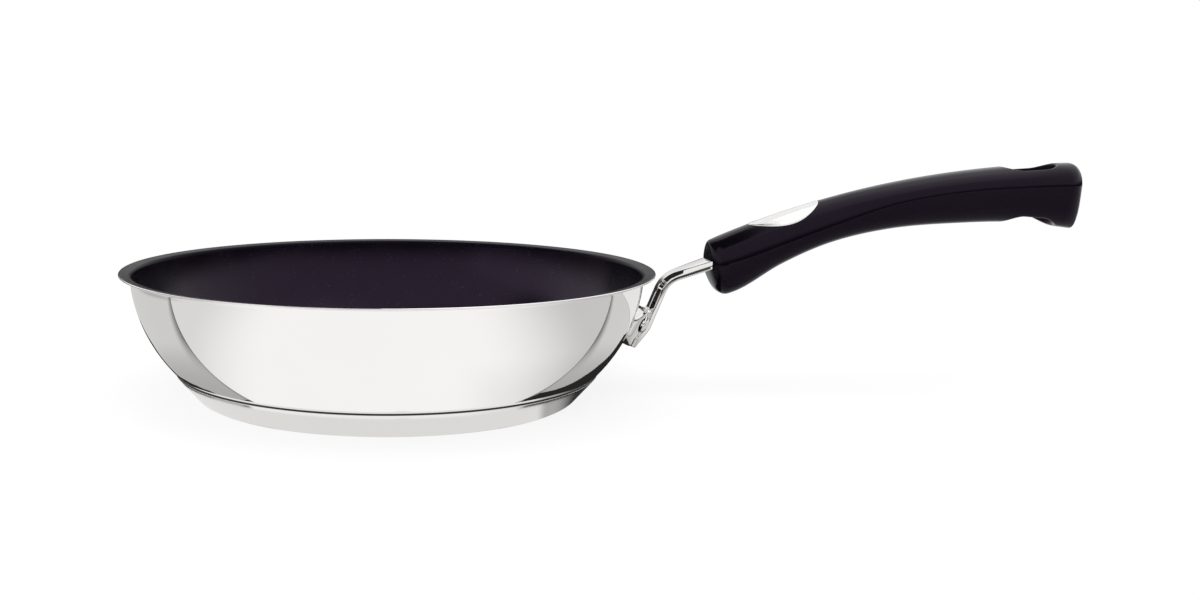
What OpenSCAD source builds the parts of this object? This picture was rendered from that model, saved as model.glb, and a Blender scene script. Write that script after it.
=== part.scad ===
// Omelette pan: a pressed steel body with a flared lip, a dark non-stick lining and a bonded base,
// and a moulded handle on a cast bracket that two rivets hold to the wall.
// Millimetres. The origin lies on the pan's axis, in the plane it stands on. +X runs along the handle, +Z is up.

/* [Pan body] */
// Diameter over the lip
rim_diameter = 240; // [200:1:300]
// Height of the lip's top above the table
pan_height = 57; // [48:0.5:75]
// Thickness of the steel sheet
sheet = 0.8; // [0.6:0.1:1.5]
// Lean of the wall from upright, just under the lip, in degrees
lean_top = 4.5; // [3:0.5:10]
// Lean of the wall from upright, where the base band meets it
lean_seam = 45; // [38:1:52]
// Radius of the bend from the wall out to the lip, on its underside
lip_radius = 1.2; // [1:0.1:3]
// Length of the lip's straight flare beyond that bend
lip_flare = 4; // [2.5:0.5:6]
// Lean of the sheet from upright at the lip's edge
lip_lean = 80; // [60:1:86]

/* [Lining] */
// Thickness of the non-stick lining
lining_thickness = 0.2; // [0.1:0.05:0.4]
// Width of bare steel that the lining leaves along the lip's edge
lining_setback = 0.6; // [0.3:0.1:1.5]

/* [Base] */
// Height of the base band at its seam with the wall
band_height = 11.8; // [9.5:0.1:15]
// How much steeper the band stands than the wall above it, in degrees
band_step = 4; // [2:1:15]
// Thickness of the aluminium core
core_thickness = 5.4; // [3:0.1:7]
// Thickness of the steel cap under the core
cap_sheet = 0.6; // [0.4:0.1:1]
// Radius of the cap's lower edge
cap_radius = 4.3; // [2:0.1:6]

/* [Bracket] */
// Height above the table of the wall point that the foot is built round
foot_height = 30; // [26:0.5:36]
// Width of the foot across both ears
foot_width = 44; // [38:0.5:56]
// How far the foot reaches below that point, along the wall
foot_below = 6.4; // [5:0.2:8]
// How far the foot reaches above it
foot_above = 11; // [9.5:0.5:13]
// Corner radius of the ears
foot_corner = 6.5; // [3:0.5:7.5]
// Thickness of the foot in its middle
foot_depth = 7; // [6:0.1:9]
// Radius of the foot's crowned face
foot_crown = 40; // [34:1:60]
// Width of the strap on its leg, between the foot and the bend
leg_width = 11; // [9.5:0.5:14]
// Width of the strap where its neck meets the handle
neck_width = 16; // [14:0.5:18]
// Thickness of the strap
strap_thickness = 3.9; // [3.2:0.1:4.6]
// How far beyond the lip the strap turns
bend_reach = 6.8; // [5:0.2:12]
// How far below the lip's top the strap turns
bend_drop = 5.5; // [3:0.5:9]
// Radius of the turn, at the strap's middle
bend_radius = 12; // [8:0.5:16]
// Slope of the neck up to the handle, in degrees
neck_slope = 19.5; // [14:0.5:24]
// Length of the neck from its corner with the leg to the handle's front face
neck_length = 20.2; // [16:0.1:30]
// Width of the tang inside the handle
tang_width = 12; // [9:0.5:13]
// Length of the tang inside the handle
tang_length = 41; // [38:0.5:55]

/* [Rivets] */
// Spacing of the two rivets across the foot
rivet_spacing = 27; // [24:0.5:32]
// Height of the rivets above the foot's wall point, along the wall
rivet_rise = 5.4; // [3:0.2:6]
// Diameter of the rivet shanks
rivet_shank = 5; // [4:0.1:6]
// Diameter of the domed heads outside
rivet_head = 8.4; // [7:0.1:9.4]
// Height of the domed heads outside
rivet_dome = 2.6; // [1.6:0.1:3.2]
// Diameter of the flat heads inside the pan
rivet_inner_head = 10; // [8:0.5:12]
// Height of the flat heads inside the pan
rivet_inner_height = 1.6; // [1:0.1:2.5]
// Material left under the domed heads
rivet_grip = 5; // [4:0.1:5.2]

/* [Handle grip] */
// Length of the grip
grip_length = 165.3; // [140:0.1:200]
// Height of the grip's crest above the neck's middle, at the front face
grip_front_top = 10.4; // [9:0.1:14]
// Height of the grip's crest above the neck's middle, at the tail
grip_tail_top = 46; // [30:0.2:60]
// Slope of the crest at the front face, in degrees
grip_front_slope = 24; // [16:1:28]
// Slope of the crest at the tail
grip_tail_slope = 1; // [-5:1:8]
// Greatest width of the grip
grip_width = 26.4; // [24:0.2:32]
// Greatest depth of the grip
grip_depth = 29; // [27:0.5:34]
// Radius that rounds the front face into the crest
front_edge = 1.5; // [1:0.5:4]
// Radius that rounds the front face in plan
front_round = 7; // [3:0.5:8]
// Length over which the underside rises to meet the front face
front_heel = 10; // [4:0.5:14]
// Radius that rounds the tail into the crest
tail_edge = 4; // [2:0.5:7]
// Radius that rounds the tail in plan
tail_round = 9; // [5:0.5:10]
// Length of the slant that cuts the tail's underside
tail_slant = 2; // [1:0.5:7]

/* [Hanging hole] */
// Length of the hole
hole_length = 23; // [18:0.5:28]
// Width of the hole
hole_width = 15; // [11:0.5:16]
// Distance from the hole's far end to the tail
hole_margin = 10; // [8:0.5:20]

/* [Badge] */
// Length of the oval badge
badge_length = 33; // [26:0.5:40]
// Width of the oval badge
badge_width = 19; // [14:0.2:21.6]
// Thickness of the badge
badge_thickness = 1; // [0.6:0.1:1.5]
// How far the badge stands proud of the crest
badge_proud = 0.2; // [0:0.05:0.5]
// Distance from the front face to the badge's middle
badge_place = 33.7; // [28:0.1:45]

/* [Handle screw] */
// Distance from the front face to the screw, along the tang
screw_place = 34.8; // [30:0.1:37]
// Diameter of the screw
screw_diameter = 5; // [4:0.1:5.5]
// Diameter of the screw's head
screw_head = 8.4; // [7:0.1:9]
// Height of the screw's head
screw_head_height = 2.8; // [2:0.1:3.5]
// Thickness of the washer under the head
washer_thickness = 1; // [0.6:0.1:1.5]
// Outer diameter of the threaded insert
insert_diameter = 7.4; // [7:0.1:8.5]
// Length of the insert, where the grip is deep enough for it
insert_reach = 7; // [5:0.5:8]
// Least material left under the insert
insert_cover = 2; // [1:0.1:3]

/* [Fits] */
// Clearance all round the tang in its socket
socket_clearance = 0.15; // [0.05:0.05:0.4]
// Clearance round shanks in their holes, on the radius
hole_clearance = 0.1; // [0.05:0.05:0.3]
// Clearance round the badge in its recess
badge_clearance = 0.1; // [0.05:0.05:0.3]
// Gap that a flat rivet head keeps over the middle of its curved seat
seat_gap = 0.35; // [0.3:0.05:0.6]

/* [Hidden] */
$fn = 96;
overrun = 1;

// Steps along each arc of a profile
wall_steps = 14;
fillet_steps = 8;
lip_steps = 7;
edge_steps = 5;

// Wall: one arc between the lean under the lip and the lean at the seam
lip_rise = lip_radius * (sin(lip_lean) - sin(lean_top)) + lip_flare * cos(lip_lean) + sheet * sin(lip_lean);
lip_reach = lip_radius * (cos(lean_top) - cos(lip_lean)) + lip_flare * sin(lip_lean);
wall_top_r = rim_diameter / 2 - lip_reach;
wall_top_z = pan_height - lip_rise;
wall_radius = (wall_top_z - band_height) / (sin(lean_seam) - sin(lean_top));
wall_centre = [wall_top_r - wall_radius * cos(lean_top), wall_top_z + wall_radius * sin(lean_top)];

// Lip: its bend turns about a point outside the wall
lip_centre = [wall_top_r + lip_radius * cos(lean_top), wall_top_z - lip_radius * sin(lean_top)];

// Floor: a fillet carries the wall on from the seam to the flat
floor_z = cap_sheet + core_thickness;
floor_radius = (band_height - floor_z) / (1 - sin(lean_seam));
floor_centre = [
    wall_centre.x + (wall_radius - floor_radius) * cos(lean_seam),
    floor_z + floor_radius
];

// Base cap: a band that stands steeper than the wall and closes on it at the seam
band_lean = lean_seam - band_step;
seam = wall_centre + wall_radius * [cos(lean_seam), -sin(lean_seam)];
band_out = [cos(band_lean), -sin(band_lean)];
cap_edge = seam + cap_sheet * band_out;
cap_centre = [
    (cap_edge * band_out - cap_radius + cap_radius * sin(band_lean)) / cos(band_lean),
    cap_radius
];

// Foot: a frame on the wall, with X square to it and Z along it
foot_lean = wall_lean(foot_height);
foot_point = [wall_r(foot_height), foot_height];
// How far the uncut foot reaches into the wall
foot_inside = 8;

// Strap: from the foot's tip up the leg, round the bend and along the neck
tip_sink = 0.2;
strap_low = foot_to_pan([foot_depth - tip_sink, -foot_below]);
strap_knee = foot_to_pan([foot_depth + strap_thickness / 2, foot_above / 3]);
bend_corner = [rim_diameter / 2 + bend_reach, pan_height - bend_drop];
neck_along = [cos(neck_slope), sin(neck_slope)];
neck_end = bend_corner + neck_length * neck_along;
knee_radius = 10;
// Bevel along the strap's upper edges: how far in, and how much of the side it leaves square
bevel_in = 3;
strap_side = strap_thickness * 0.52;
// How far the full strap enters the grip, before it narrows to the tang
strap_entry = 5;

// Rivets: each stands square to the wall
rivet_z = foot_height + rivet_rise * cos(foot_lean);
rivet_turn = asin(rivet_spacing / 2 / wall_r(rivet_z));
spot_margin = 0.4;
spot_depth = 5;

// Grip: sections along its length, as shares of the length, the greatest depth and the greatest width:
// place, crown above the crease, belly below it, width
grip_sections = [
    [0.000, 0.40, 0.52, 0.92],
    [0.087, 0.46, 0.50, 0.97],
    [0.196, 0.46, 0.34, 0.92],
    [0.329, 0.41, 0.29, 0.86],
    [0.489, 0.31, 0.40, 0.86],
    [0.672, 0.30, 0.50, 0.91],
    [0.832, 0.33, 0.55, 0.97],
    [1.000, 0.35, 0.68, 1.00]
];
grip_steps = 52;
section_steps = 40;
// Squareness of the belly, and how much it narrows towards the underside
belly_power = 0.66;
belly_taper = 0.16;
// Depth of the belly right at both end faces, and how quickly it falls away behind the front face
end_belly = 1;
heel_power = 2.6;

// Badge and screw, from the grip's own crest and the tang's own line
badge_slope = atan(crest_slope(badge_place));
segment_margin = 3;
segment_steps = 12;
badge_steps = 48;
insert_length = min(
    insert_reach,
    strap_down(screw_place) * cos(neck_slope) - strap_thickness / 2 - socket_clearance - insert_cover
);
screw_tip_gap = 0.5;
pocket_diameter = screw_head + 1;
washer_diameter = screw_head;

// Height of the wall's arc turned into its lean and its outer radius
function wall_lean(z) = asin((wall_centre.y - z) / wall_radius);
function wall_r(z) = wall_centre.x + wall_radius * cos(wall_lean(z));

// Points along an arc whose outward side faces the given leans
function arc(centre, radius, lean_a, lean_b, steps) = [
    for (i = [0:steps])
        let (lean = lean_a + (lean_b - lean_a) * i / steps)
        centre + radius * [cos(lean), -sin(lean)]
];

// Side profile of the sheet, from the axis out to the lip, moved inwards by a depth.
// It ends short of the lip's edge by the setback.
function sheet_line(depth, setback) = concat(
    [[0, floor_z + depth]],
    arc(floor_centre, floor_radius - depth, 90, lean_seam, fillet_steps),
    [for (p = arc(wall_centre, wall_radius - depth, lean_seam, lean_top, wall_steps)) if (p != seam) p],
    arc(lip_centre, -lip_radius - depth, lean_top, lip_lean, lip_steps),
    [
        lip_centre
            - (lip_radius + depth) * [cos(lip_lean), -sin(lip_lean)]
            + (lip_flare - setback) * [sin(lip_lean), cos(lip_lean)]
    ]
);
function reversed(list) = [for (i = [len(list) - 1:-1:0]) list[i]];

// Foot frame to the pan's X and Z
function foot_to_pan(p) = [
    foot_point.x + p.x * cos(foot_lean) + p.y * sin(foot_lean),
    foot_point.y - p.x * sin(foot_lean) + p.y * cos(foot_lean)
];

// A corner of a path, rounded
function round_corner(a, b, c, radius, steps) =
    let (
        into = (b - a) / norm(b - a),
        out = (c - b) / norm(c - b),
        turn = acos(into * out),
        side = into.x * out.y - into.y * out.x < 0 ? -1 : 1,
        start = b - into * radius * tan(turn / 2),
        centre = start + side * radius * [-into.y, into.x]
    )
    [
        for (i = [0:steps])
            let (angle = side * turn * i / steps, arm = start - centre)
            centre + [arm.x * cos(angle) - arm.y * sin(angle), arm.x * sin(angle) + arm.y * cos(angle)]
    ];

// Smooth value of one column of the section table at a share of the length
function span(t, i = 0) = i >= len(grip_sections) - 2 || t <= grip_sections[i + 1][0] ? i : span(t, i + 1);
function tangent(i, column) =
    let (a = max(i - 1, 0), b = min(i + 1, len(grip_sections) - 1))
    (grip_sections[b][column] - grip_sections[a][column]) / (grip_sections[b][0] - grip_sections[a][0]);
function section_value(t, column) =
    let (
        i = span(t),
        width = grip_sections[i + 1][0] - grip_sections[i][0],
        s = (t - grip_sections[i][0]) / width
    )
    grip_sections[i][column] * (1 + 2 * s) * (1 - s) ^ 2
    + width * tangent(i, column) * s * (1 - s) ^ 2
    + grip_sections[i + 1][column] * s ^ 2 * (3 - 2 * s)
    - width * tangent(i + 1, column) * s ^ 2 * (1 - s);

// Crest of the grip above the neck's end: one cubic between two heights and two slopes
function crest(x) =
    let (s = x / grip_length)
    grip_front_top
    + grip_length * tan(grip_front_slope) * s * (1 - s) ^ 2
    + (grip_tail_top - grip_front_top) * s ^ 2 * (3 - 2 * s)
    - grip_length * tan(grip_tail_slope) * s ^ 2 * (1 - s);
function crest_slope(x) = (crest(x + 0.5) - crest(x - 0.5));

// Half the strap's width at x, which grows from the bend to the neck's end
function strap_half(x) =
    let (share = min(1, max(0, (x - bend_corner.x) / (neck_end.x - bend_corner.x))))
    (leg_width + (neck_width - leg_width) * share) / 2;

// How much an edge radius takes off at a distance from the end
function rounding(distance, radius) =
    distance >= radius ? 0 : radius - sqrt(radius ^ 2 - (radius - distance) ^ 2);

// One cross-section of the grip at x, drawn in by an inset
function grip_section(x, inset) =
    let (
        t = x / grip_length,
        back = grip_length - x,
        crown = grip_depth * section_value(t, 1),
        crease = crest(x) - crown,
        up = crown - rounding(x, front_edge) - rounding(back, tail_edge) - inset,
        belly = grip_depth * section_value(t, 2),
        heel = (belly - end_belly) * max(0, 1 - x / front_heel) ^ heel_power,
        slant = (belly - end_belly) * max(0, 1 - back / tail_slant),
        down = belly - heel - slant - inset,
        half = grip_width / 2 * section_value(t, 3) - rounding(x, front_round) - rounding(back, tail_round) - inset
    )
    [
        for (i = [0:section_steps - 1])
            let (a = 360 * i / section_steps, c = cos(a), s = sin(a), low = abs(s) ^ belly_power)
            s >= 0
            ? [x, half * c, crease + up * s]
            : [x, half * sign(c) * abs(c) ^ belly_power * (1 - belly_taper * low), crease - down * low]
    ];

// Depth of grip under the tang's middle, at a distance along the tang
function strap_down(along) =
    let (x = along * cos(neck_slope), t = x / grip_length)
    along * sin(neck_slope) - crest(x) + grip_depth * (section_value(t, 1) + section_value(t, 2));

// A closed skin through rings of points of equal count
module skin(rings) {
    n = len(rings[0]);
    last = len(rings) - 1;
    polyhedron(
        points = [for (ring = rings) each ring],
        faces = concat(
            [[for (i = [0:n - 1]) i]],
            [for (k = [0:last - 1]) for (i = [0:n - 1]) [k * n + (i + 1) % n, k * n + i, (k + 1) * n + i]],
            [for (k = [0:last - 1]) for (i = [0:n - 1])
                [k * n + (i + 1) % n, (k + 1) * n + i, (k + 1) * n + (i + 1) % n]],
            [[for (i = [n - 1:-1:0]) last * n + i]]
        )
    );
}

// Places its children in the foot's frame
module at_foot() {
    translate([foot_point.x, 0, foot_point.y]) rotate([0, foot_lean, 0]) children();
}

// Places its children at each rivet, with Z out of the wall
module at_rivets() {
    for (side = [-1, 1])
        rotate([0, 0, side * rivet_turn])
            translate([wall_r(rivet_z), 0, rivet_z])
                rotate([0, wall_lean(rivet_z) + 90, 0])
                    children();
}

// Places its children where the neck meets the grip's front face
module at_neck_end() {
    translate([neck_end.x, 0, neck_end.y]) children();
}

// Places its children on the tang's middle line, with X along the tang
module at_tang(along = 0) {
    at_neck_end() rotate([0, -neck_slope, 0]) translate([along, 0, 0]) children();
}

// Everything inside the outer face of the wall
module pan_filled() {
    rotate_extrude() polygon(concat(sheet_line(0, 0), [[0, pan_height]]));
}

// A shallow dome on a disc
module dome(diameter, height) {
    ball = (diameter ^ 2 / 4 + height ^ 2) / (2 * height);
    reach = asin(min(1, diameter / 2 / ball));
    rotate_extrude($fn = 48)
        polygon(concat(
            [[0, 0]],
            [for (i = [0:edge_steps + 2])
                let (a = reach * (1 - i / (edge_steps + 2)))
                [i == edge_steps + 2 ? 0 : ball * sin(a), height - ball * (1 - cos(a))]]
        ));
}

// The pressed steel body
module pan_body() {
    color("gainsboro")
        difference() {
            rotate_extrude()
                polygon(concat(sheet_line(0, 0), reversed(sheet_line(sheet, 0))));
            rivet_holes();
        }
}

// The non-stick lining, which stops short of the lip's edge
module nonstick_lining() {
    outer = sheet_line(sheet, lining_setback);
    inner = sheet_line(sheet + lining_thickness, lining_setback);
    color("dimgray")
        difference() {
            rotate_extrude() polygon(concat(outer, reversed(inner)));
            rivet_holes();
        }
}

// Holes for the two shanks, right through wall, lining and foot
module rivet_holes() {
    at_rivets()
        translate([0, 0, -spot_depth])
            cylinder(d = rivet_shank + 2 * hole_clearance, h = 2 * spot_depth + rivet_grip, $fn = 48);
}

// The aluminium core between the body's floor and the cap
module base_core() {
    top = [for (p = arc(floor_centre, floor_radius, 90, lean_seam, fillet_steps)) p];
    inner = arc(cap_centre, cap_radius - cap_sheet, 90, band_lean, edge_steps);
    color("silver")
        rotate_extrude()
            polygon(concat(
                [[0, cap_sheet]],
                inner,
                [core_edge()],
                reversed([for (i = [0:fillet_steps - 2]) top[i]]),
                [[0, floor_z]]
            ));
}

// Where the core's rim meets the inside of the band
function core_edge() =
    let (
        rim = arc(floor_centre, floor_radius, 90, lean_seam, fillet_steps)[fillet_steps - 2],
        inside = seam - (seam.y - rim.y) * [tan(band_lean), 1]
    )
    inside;

// The steel cap that closes the base
module base_cap() {
    color("lightgray")
        rotate_extrude()
            polygon(concat(
                [[0, 0]],
                arc(cap_centre, cap_radius, 90, band_lean, edge_steps),
                [cap_edge, seam],
                reversed(arc(cap_centre, cap_radius - cap_sheet, 90, band_lean, edge_steps)),
                [[0, cap_sheet]]
            ));
}

// The strap, swept with bevelled upper edges along its path
module strap() {
    path = concat(
        [strap_low],
        round_corner(strap_low, strap_knee, bend_corner, knee_radius, 4),
        round_corner(strap_knee, bend_corner, neck_end, bend_radius, 10),
        [neck_end + strap_entry * neck_along]
    );
    thick = strap_thickness / 2;
    last = len(path) - 1;
    skin([
        for (i = [0:last])
            let (
                ahead = path[min(i + 1, last)] - path[max(i - 1, 0)],
                along = ahead / norm(ahead),
                up = [-along.y, along.x],
                half = strap_half(path[i].x)
            )
            [
                for (q = [
                    [-half, -thick], [half, -thick], [half, strap_side - thick], [half - bevel_in, thick],
                    [bevel_in - half, thick], [-half, strap_side - thick]
                ])
                    [path[i].x + up.x * q.y, q.x, path[i].y + up.y * q.y]
            ]
    ]);
}

// Outline of the foot as seen square to the wall
module foot_outline() {
    low = -foot_below + foot_corner;
    high = foot_above - foot_corner;
    side = foot_width / 2 - foot_corner;
    for (y = [-side, side])
        for (z = [low, high])
            translate([y, z]) circle(r = foot_corner, $fn = 48);
    translate([-side, -foot_below]) square([2 * side, foot_below + foot_above]);
    translate([-foot_width / 2, low]) square([foot_width, high - low]);
}

// The foot: two ears and a crowned middle, still uncut on the wall's side
module foot() {
    at_foot()
        intersection() {
            translate([-foot_inside, 0, 0])
                rotate([90, 0, 90])
                    linear_extrude(foot_inside + foot_depth) foot_outline();
            translate([foot_depth - foot_crown, 0, -foot_below - overrun])
                cylinder(r = foot_crown, h = foot_below + foot_above + 2 * overrun, $fn = 128);
        }
}

// The cast bracket: foot, leg, neck and tang
module handle_bracket() {
    color("silver")
        difference() {
            union() {
                foot();
                strap();
                at_tang(strap_entry - overrun)
                    translate([0, -tang_width / 2, -strap_thickness / 2])
                        cube([tang_length - strap_entry + overrun, tang_width, strap_thickness]);
            }
            pan_filled();
            rivet_holes();
            at_rivets()
                translate([0, 0, rivet_grip])
                    cylinder(d = rivet_head + 2 * spot_margin, h = spot_depth, $fn = 48);
            at_tang(screw_place)
                cylinder(d = screw_diameter + 2 * hole_clearance, h = 4 * strap_thickness, center = true, $fn = 48);
        }
}

// The two rivets, each with a dome outside and a flatter head inside
module bracket_rivets() {
    under = sheet + lining_thickness + seat_gap;
    color("gainsboro")
        at_rivets() {
            translate([0, 0, -under - overrun / 2])
                cylinder(d = rivet_shank, h = under + rivet_grip + overrun, $fn = 48);
            translate([0, 0, rivet_grip]) dome(rivet_head, rivet_dome);
            translate([0, 0, -under]) mirror([0, 0, 1]) dome(rivet_inner_head, rivet_inner_height);
        }
}

// A stretch of the grip's skin, in the frame of the neck's end
module grip_stretch(from, to, inset, steps) {
    at_neck_end()
        skin([for (i = [0:steps]) grip_section(from + (to - from) * i / steps, inset)]);
}

// The whole outer form of the grip, with its rings closest together at both ends
module grip_form() {
    at_neck_end()
        skin([for (i = [0:grip_steps]) grip_section(grip_length * (1 - cos(180 * i / grip_steps)) / 2, 0)]);
}

// The badge's oval, standing square to the crest
module badge_prism(clearance) {
    a = badge_length / 2 + clearance;
    b = badge_width / 2 + clearance;
    at_neck_end()
        translate([badge_place, 0, crest(badge_place)])
            rotate([0, -badge_slope, 0])
                translate([0, 0, -badge_width / 2])
                    linear_extrude(badge_width)
                        polygon([for (i = [0:badge_steps - 1])
                            let (t = 360 * i / badge_steps)
                            [a * cos(t), b * sin(t)]]);
}

// The grip's stretch under the badge, drawn in or out
module badge_stretch(inset) {
    reach = badge_length / 2 + segment_margin;
    grip_stretch(badge_place - reach, badge_place + reach, inset, segment_steps);
}

// The moulded grip
module handle_grip() {
    thick = strap_thickness + 2 * socket_clearance;
    color("#1c1822")
        difference() {
            grip_form();
            at_tang(-overrun)
                translate([0, -neck_width / 2 - socket_clearance, -thick / 2])
                    cube([strap_entry + overrun + socket_clearance, neck_width + 2 * socket_clearance, thick]);
            at_tang(0)
                translate([0, -tang_width / 2 - socket_clearance, -thick / 2])
                    cube([tang_length + socket_clearance, tang_width + 2 * socket_clearance, thick]);
            at_tang(screw_place) {
                cylinder(d = pocket_diameter, h = crest(screw_place), $fn = 48);
                translate([0, 0, -thick / 2 - insert_length])
                    cylinder(d = insert_diameter, h = insert_length + thick / 2, $fn = 48);
            }
            difference() {
                badge_prism(badge_clearance);
                badge_stretch(badge_thickness);
            }
            hanging_hole();
        }
}

// The oval hole through the tail
module hanging_hole() {
    round_r = hole_width / 2;
    far = grip_length - hole_margin - round_r;
    near = far - (hole_length - hole_width);
    at_neck_end()
        linear_extrude(grip_tail_top + 2 * overrun) {
            for (x = [near, far])
                translate([x, 0]) circle(r = round_r, $fn = 64);
            translate([near, -round_r]) square([far - near, 2 * round_r]);
        }
}

// The plain oval badge, bent to the grip's crown
module handle_badge() {
    color("whitesmoke")
        difference() {
            intersection() {
                badge_prism(0);
                badge_stretch(-badge_proud);
            }
            badge_stretch(badge_thickness);
        }
}

// The screw that clamps the tang, in its pocket under the badge
module handle_screw() {
    seat = strap_thickness / 2 + washer_thickness;
    length = seat + strap_thickness / 2 + insert_length - screw_tip_gap;
    color("gray")
        at_tang(screw_place) {
            translate([0, 0, seat - length]) cylinder(d = screw_diameter, h = length + overrun, $fn = 48);
            translate([0, 0, seat]) dome(screw_head, screw_head_height);
        }
}

// The washer between the screw's head and the tang
module screw_washer() {
    color("darkgray")
        at_tang(screw_place)
            translate([0, 0, strap_thickness / 2])
                difference() {
                    cylinder(d = washer_diameter, h = washer_thickness, $fn = 48);
                    translate([0, 0, -overrun])
                        cylinder(d = screw_diameter + 2 * hole_clearance, h = washer_thickness + 2 * overrun, $fn = 48);
                }
}

// The brass insert that is moulded into the grip under the tang
module threaded_insert() {
    top = -strap_thickness / 2 - socket_clearance;
    color("goldenrod")
        at_tang(screw_place)
            difference() {
                translate([0, 0, top - insert_length])
                    cylinder(d = insert_diameter, h = insert_length, $fn = 48);
                translate([0, 0, top - insert_length - overrun])
                    cylinder(d = screw_diameter + 2 * hole_clearance, h = insert_length + 2 * overrun, $fn = 48);
            }
}

pan_body();
nonstick_lining();
base_core();
base_cap();
handle_bracket();
bracket_rivets();
handle_grip();
handle_badge();
handle_screw();
screw_washer();
threaded_insert();
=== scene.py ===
"""Looks of the omelette pan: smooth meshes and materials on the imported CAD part, a plain floor,
cards and lamps that stand in for the photographer's, and the photograph's camera."""

import math

import bpy
import bmesh
import numpy as np
from mathutils import Matrix, Vector


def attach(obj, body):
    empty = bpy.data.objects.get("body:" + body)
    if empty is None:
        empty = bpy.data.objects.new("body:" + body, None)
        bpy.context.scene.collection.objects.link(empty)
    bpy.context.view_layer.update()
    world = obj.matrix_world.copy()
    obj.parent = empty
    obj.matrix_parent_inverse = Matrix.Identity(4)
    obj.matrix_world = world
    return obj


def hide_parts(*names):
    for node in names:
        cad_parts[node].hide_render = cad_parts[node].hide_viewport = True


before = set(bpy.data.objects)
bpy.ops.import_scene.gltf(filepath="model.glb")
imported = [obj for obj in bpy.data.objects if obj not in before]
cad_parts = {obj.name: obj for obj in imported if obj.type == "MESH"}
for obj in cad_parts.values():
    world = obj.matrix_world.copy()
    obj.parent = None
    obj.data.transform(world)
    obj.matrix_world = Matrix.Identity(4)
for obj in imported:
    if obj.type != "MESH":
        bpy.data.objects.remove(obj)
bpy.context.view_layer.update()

MM = 0.001

# Sizes in millimetres and degrees, as in the part's source unless marked as the scene's own
RIM_DIAMETER = 240.0
PAN_HEIGHT = 57.0
SHEET = 0.8
LEAN_TOP = 4.5
LEAN_SEAM = 45.0
LIP_RADIUS = 1.2
LIP_FLARE = 4.0
LIP_LEAN = 80.0
LINING = 0.2
# the scene's own: the source leaves 0.6 of bare steel
LINING_SETBACK = 0.25
LINING_TAPER = 0.3
BAND_HEIGHT = 11.8
BAND_STEP = 4.0
CORE = 5.4
CAP_SHEET = 0.6
CAP_RADIUS = 4.3
FOOT_HEIGHT = 30.0
FOOT_WIDTH = 44.0
FOOT_BELOW = 6.4
FOOT_ABOVE = 11.0
FOOT_CORNER = 6.5
FOOT_DEPTH = 7.0
FOOT_CROWN = 40.0
LEG_WIDTH = 11.0
NECK_WIDTH = 16.0
STRAP_THICKNESS = 3.9
STRAP_SIDE = STRAP_THICKNESS * 0.52
BEND_REACH = 6.8
BEND_DROP = 5.5
BEND_RADIUS = 12.0
KNEE_RADIUS = 10.0
NECK_SLOPE = 19.5
NECK_LENGTH = 20.2
STRAP_ENTRY = 5.0
TANG_OVERLAP = 2.0
TIP_SINK = 0.2
BEVEL_IN = 3.0
# the scene's own: how fast the bevel narrows along the neck, the least share of it that stays,
# and how much the neck's top is crowned
BEVEL_RUN_OUT = 1.25
BEVEL_LEFT = 0.3
NECK_CROWN = 0.4
TANG_WIDTH = 12.0
TANG_LENGTH = 41.0
RIVET_SPACING = 27.0
RIVET_RISE = 5.4
RIVET_SHANK = 5.0
RIVET_HEAD = 8.4
RIVET_DOME = 2.6
RIVET_INNER_HEAD = 10.0
RIVET_INNER_HEIGHT = 1.6
RIVET_GRIP = 5.0
SEAT_GAP = 0.35
GRIP_LENGTH = 165.3
GRIP_FRONT_TOP = 10.4
GRIP_TAIL_TOP = 46.0
GRIP_FRONT_SLOPE = 24.0
GRIP_TAIL_SLOPE = 1.0
GRIP_WIDTH = 26.4
GRIP_DEPTH = 29.0
FRONT_EDGE = 1.5
FRONT_ROUND = 7.0
FRONT_HEEL = 10.0
TAIL_EDGE = 4.0
TAIL_ROUND = 9.0
TAIL_SLANT = 2.0
HOLE_LENGTH = 23.0
HOLE_WIDTH = 15.0
HOLE_MARGIN = 10.0
BADGE_LENGTH = 33.0
BADGE_WIDTH = 19.0
BADGE_THICKNESS = 1.0
BADGE_PROUD = 0.2
BADGE_PLACE = 33.7
SCREW_PLACE = 34.8
SOCKET_CLEARANCE = 0.15
BADGE_CLEARANCE = 0.1
BELLY_POWER = 0.66
BELLY_TAPER = 0.16
END_BELLY = 1.0
HEEL_POWER = 2.6
POCKET_RADIUS = 4.7
POCKET_FLOOR = 0.5
POCKET_TOP = 11.0
INSERT_RADIUS = 3.7
INSERT_DEPTH = 7.0
# share of the length, and the crown, the belly and the width there as shares of the greatest
GRIP_SECTIONS = np.array([
    [0.000, 0.40, 0.52, 0.92],
    [0.087, 0.46, 0.50, 0.97],
    [0.196, 0.46, 0.34, 0.92],
    [0.329, 0.41, 0.29, 0.86],
    [0.489, 0.31, 0.40, 0.86],
    [0.672, 0.30, 0.50, 0.91],
    [0.832, 0.33, 0.55, 0.97],
    [1.000, 0.35, 0.68, 1.00],
])

# Roundings of edges that only the scene has, in millimetres
BAND_EDGE_ROUND = 0.18
FOOT_EDGE_ROUND = 1.6
STRAP_LOW_ROUND = 0.6
STRAP_TOP_ROUND = 0.35
STRAP_TIP_ROUND = 0.4
FOOT_BLEND = 2.4
WALL_ROUND = 0.3
RIVET_SEAT_ROUND = 0.5
RIVET_SEAT_MARGIN = 0.4
HOLE_TOP_EDGE = 1.1
HOLE_LOW_EDGE = 2.2
BADGE_EDGE = 0.35
BADGE_BORDER = 0.83
BADGE_SUNK = 0.12

# How fine the meshes are: points round a lathe and round half a grip section,
# and the bracket's grid in millimetres with full and with quick meshes
TURNS = 384
RIVET_TURNS = 72
GRIP_AROUND = 72
OVAL_POINTS = 160
FULL_STEP, QUICK_STEP = 0.32, 0.45


def sind(a):
    return math.sin(math.radians(a))


def cosd(a):
    return math.cos(math.radians(a))


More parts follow.
